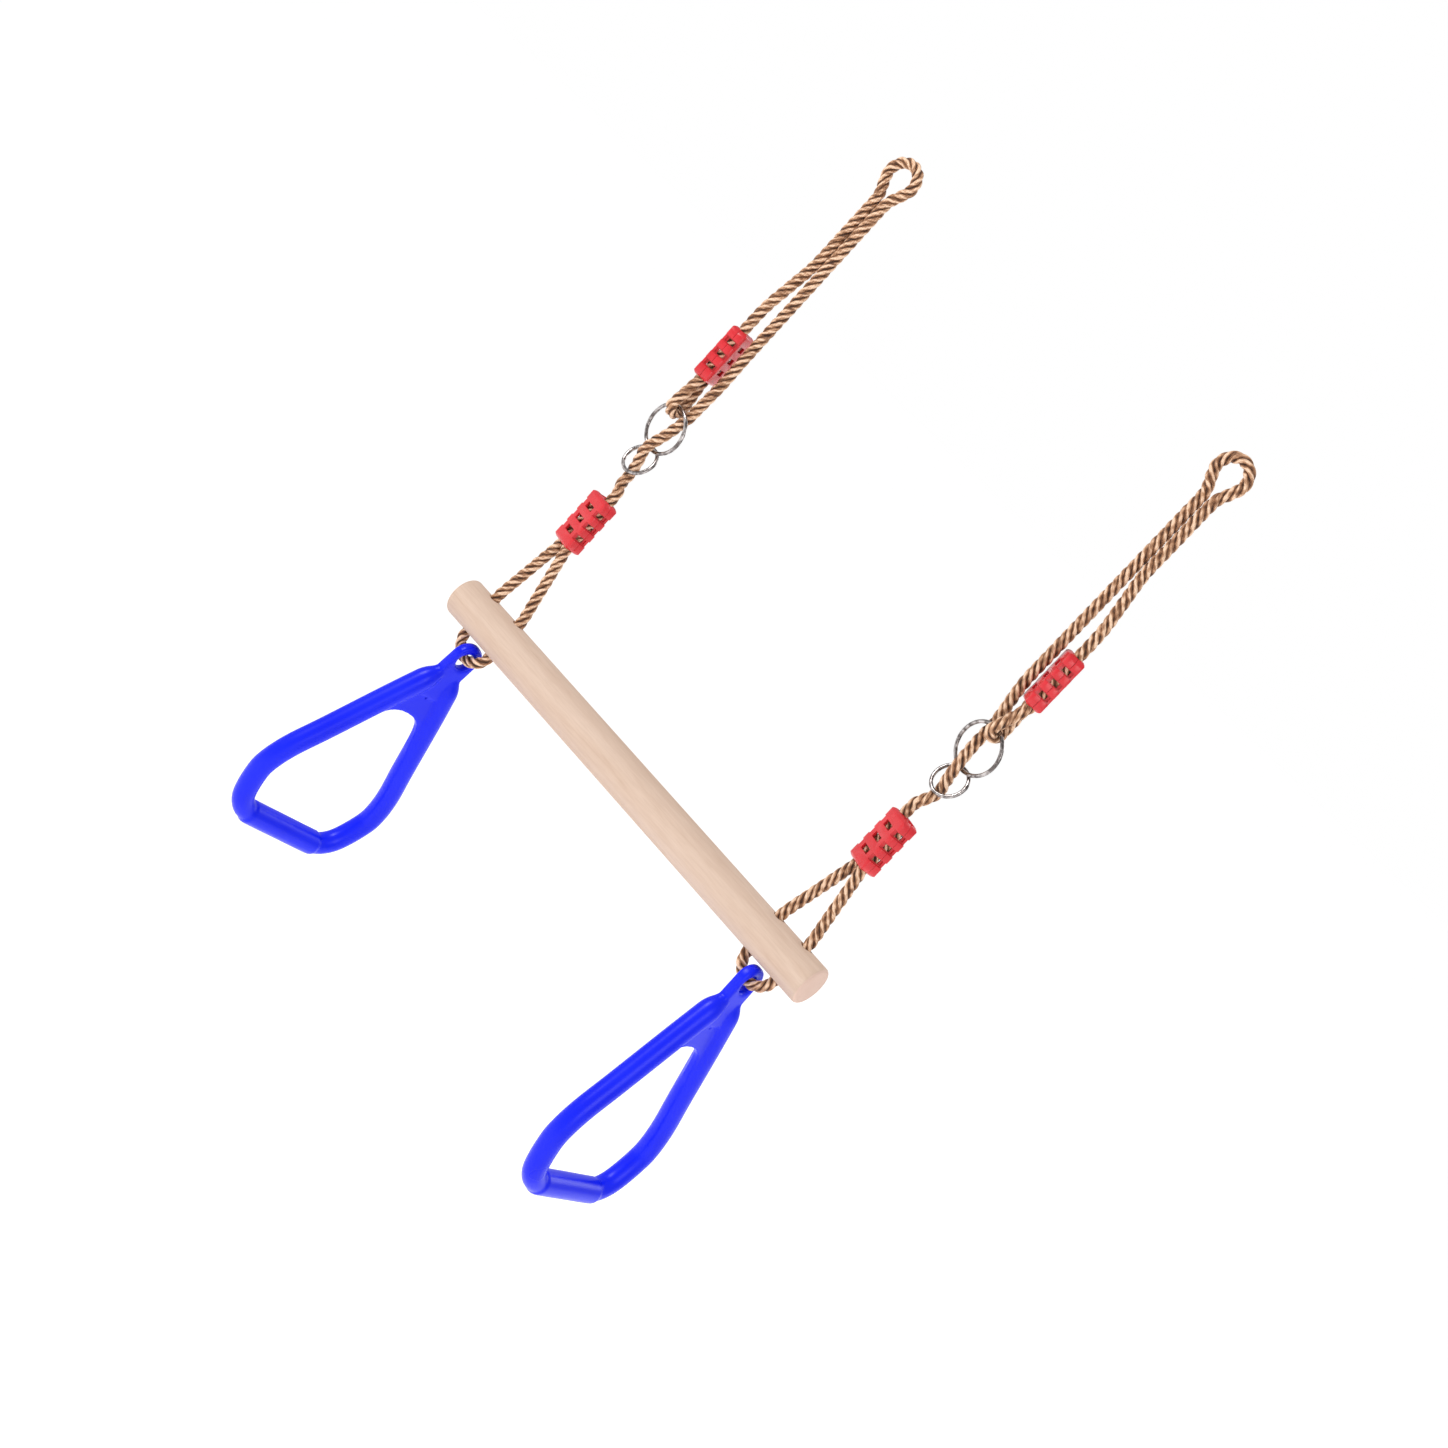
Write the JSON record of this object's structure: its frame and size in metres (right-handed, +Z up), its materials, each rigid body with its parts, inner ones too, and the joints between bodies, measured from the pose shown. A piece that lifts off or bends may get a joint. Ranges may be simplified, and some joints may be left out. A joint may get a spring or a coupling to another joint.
{
  "type": "trapeze with gymnastics rings",
  "caption": "Children's wooden trapeze bar on twisted ropes with sliding clamps and steel rings, and a triangular plastic gymnastics ring hung under each end.",
  "frame": {"origin": "on the hanging line, midway between the inside tops of the two rope loops that go over the beam or hook", "axes": "+X along the wooden bar, +Z up, +Y away from the viewer of the front"},
  "size_m": [0.4517, 0.1544, 0.7547],
  "materials": {
    "wood": "smooth turned, uncoated",
    "rope": "twisted, two brown and two beige strands",
    "steel": "polished",
    "red_plastic": "moulded, glossy",
    "blue_plastic": "moulded, satin to glossy"
  },
  "bodies": {
    "hanging_loops": {"left_hanging_loop": "rope", "right_hanging_loop": "rope"},
    "upper_span": {"left_standing_rope": "rope", "left_eye_rope": "rope", "right_standing_rope": "rope", "right_eye_rope": "rope"},
    "left_upper_clamp": {"left_upper_clamp_front_half": "red_plastic", "left_upper_clamp_back_half": "red_plastic"},
    "right_upper_clamp": {"right_upper_clamp_front_half": "red_plastic", "right_upper_clamp_back_half": "red_plastic"},
    "left_big_ring": {"left_big_steel_ring": "steel"},
    "right_big_ring": {"right_big_steel_ring": "steel"},
    "left_small_ring": {"left_small_steel_ring": "steel"},
    "right_small_ring": {"right_small_steel_ring": "steel"},
    "lower_span": {"left_long_leg": "rope", "left_short_leg": "rope", "right_long_leg": "rope", "right_short_leg": "rope"},
    "left_lower_clamp": {"left_lower_clamp_front_half": "red_plastic", "left_lower_clamp_back_half": "red_plastic"},
    "right_lower_clamp": {"right_lower_clamp_front_half": "red_plastic", "right_lower_clamp_back_half": "red_plastic"},
    "bar": {"trapeze_bar": "wood", "left_bar_loop": "rope", "right_bar_loop": "rope"},
    "left_ring": {"left_plastic_ring": "blue_plastic"},
    "right_ring": {"right_plastic_ring": "blue_plastic"}
  },
  "joints": [
    {"name": "trapeze_swing", "type": "hinge", "parent": "hanging_loops", "child": "upper_span", "pos_m": [0, 0, -0.041], "axis": [1, 0, 0], "range_deg": [-60, 60]},
    {"name": "left_upper_clamp_slide", "type": "slide", "parent": "upper_span", "child": "left_upper_clamp", "axis": [0, 0, 1], "range_m": [0, 0.02]},
    {"name": "right_upper_clamp_slide", "type": "slide", "parent": "upper_span", "child": "right_upper_clamp", "axis": [0, 0, 1], "range_m": [0, 0.02]},
    {"name": "left_big_ring_turn", "type": "hinge", "parent": "upper_span", "child": "left_big_ring", "pos_m": [-0.1895, 0, -0.2765], "axis": [-0.2052, -0.9652, -0.1622], "continuous": true},
    {"name": "right_big_ring_turn", "type": "hinge", "parent": "upper_span", "child": "right_big_ring", "pos_m": [0.1895, 0, -0.2765], "axis": [-0.2052, -0.9652, -0.1622], "continuous": true},
    {"name": "left_small_ring_turn", "type": "hinge", "parent": "upper_span", "child": "left_small_ring", "pos_m": [-0.18912, 0.00181, -0.3085], "axis": [-0.1932, -0.9089, 0.3696], "continuous": true},
    {"name": "right_small_ring_turn", "type": "hinge", "parent": "upper_span", "child": "right_small_ring", "pos_m": [0.18988, 0.00181, -0.3085], "axis": [-0.1932, -0.9089, 0.3696], "continuous": true},
    {"name": "rope_fold", "type": "hinge", "parent": "upper_span", "child": "lower_span", "pos_m": [0, 0, -0.3335], "axis": [1, 0, 0], "range_deg": [-45, 45]},
    {"name": "left_lower_clamp_slide", "type": "slide", "parent": "lower_span", "child": "left_lower_clamp", "axis": [0, 0, 1], "range_m": [0, 0.008]},
    {"name": "right_lower_clamp_slide", "type": "slide", "parent": "lower_span", "child": "right_lower_clamp", "axis": [0, 0, 1], "range_m": [0, 0.008]},
    {"name": "bar_tilt", "type": "hinge", "parent": "lower_span", "child": "bar", "pos_m": [0, 0, -0.466], "axis": [1, 0, 0], "range_deg": [-35, 35]},
    {"name": "left_ring_swing", "type": "hinge", "parent": "bar", "child": "left_ring", "pos_m": [-0.184, 0, -0.5225], "axis": [1, 0, 0], "range_deg": [-70, 70]},
    {"name": "right_ring_swing", "type": "hinge", "parent": "bar", "child": "right_ring", "pos_m": [0.184, 0, -0.5225], "axis": [1, 0, 0], "range_deg": [-70, 70]}
  ]
}
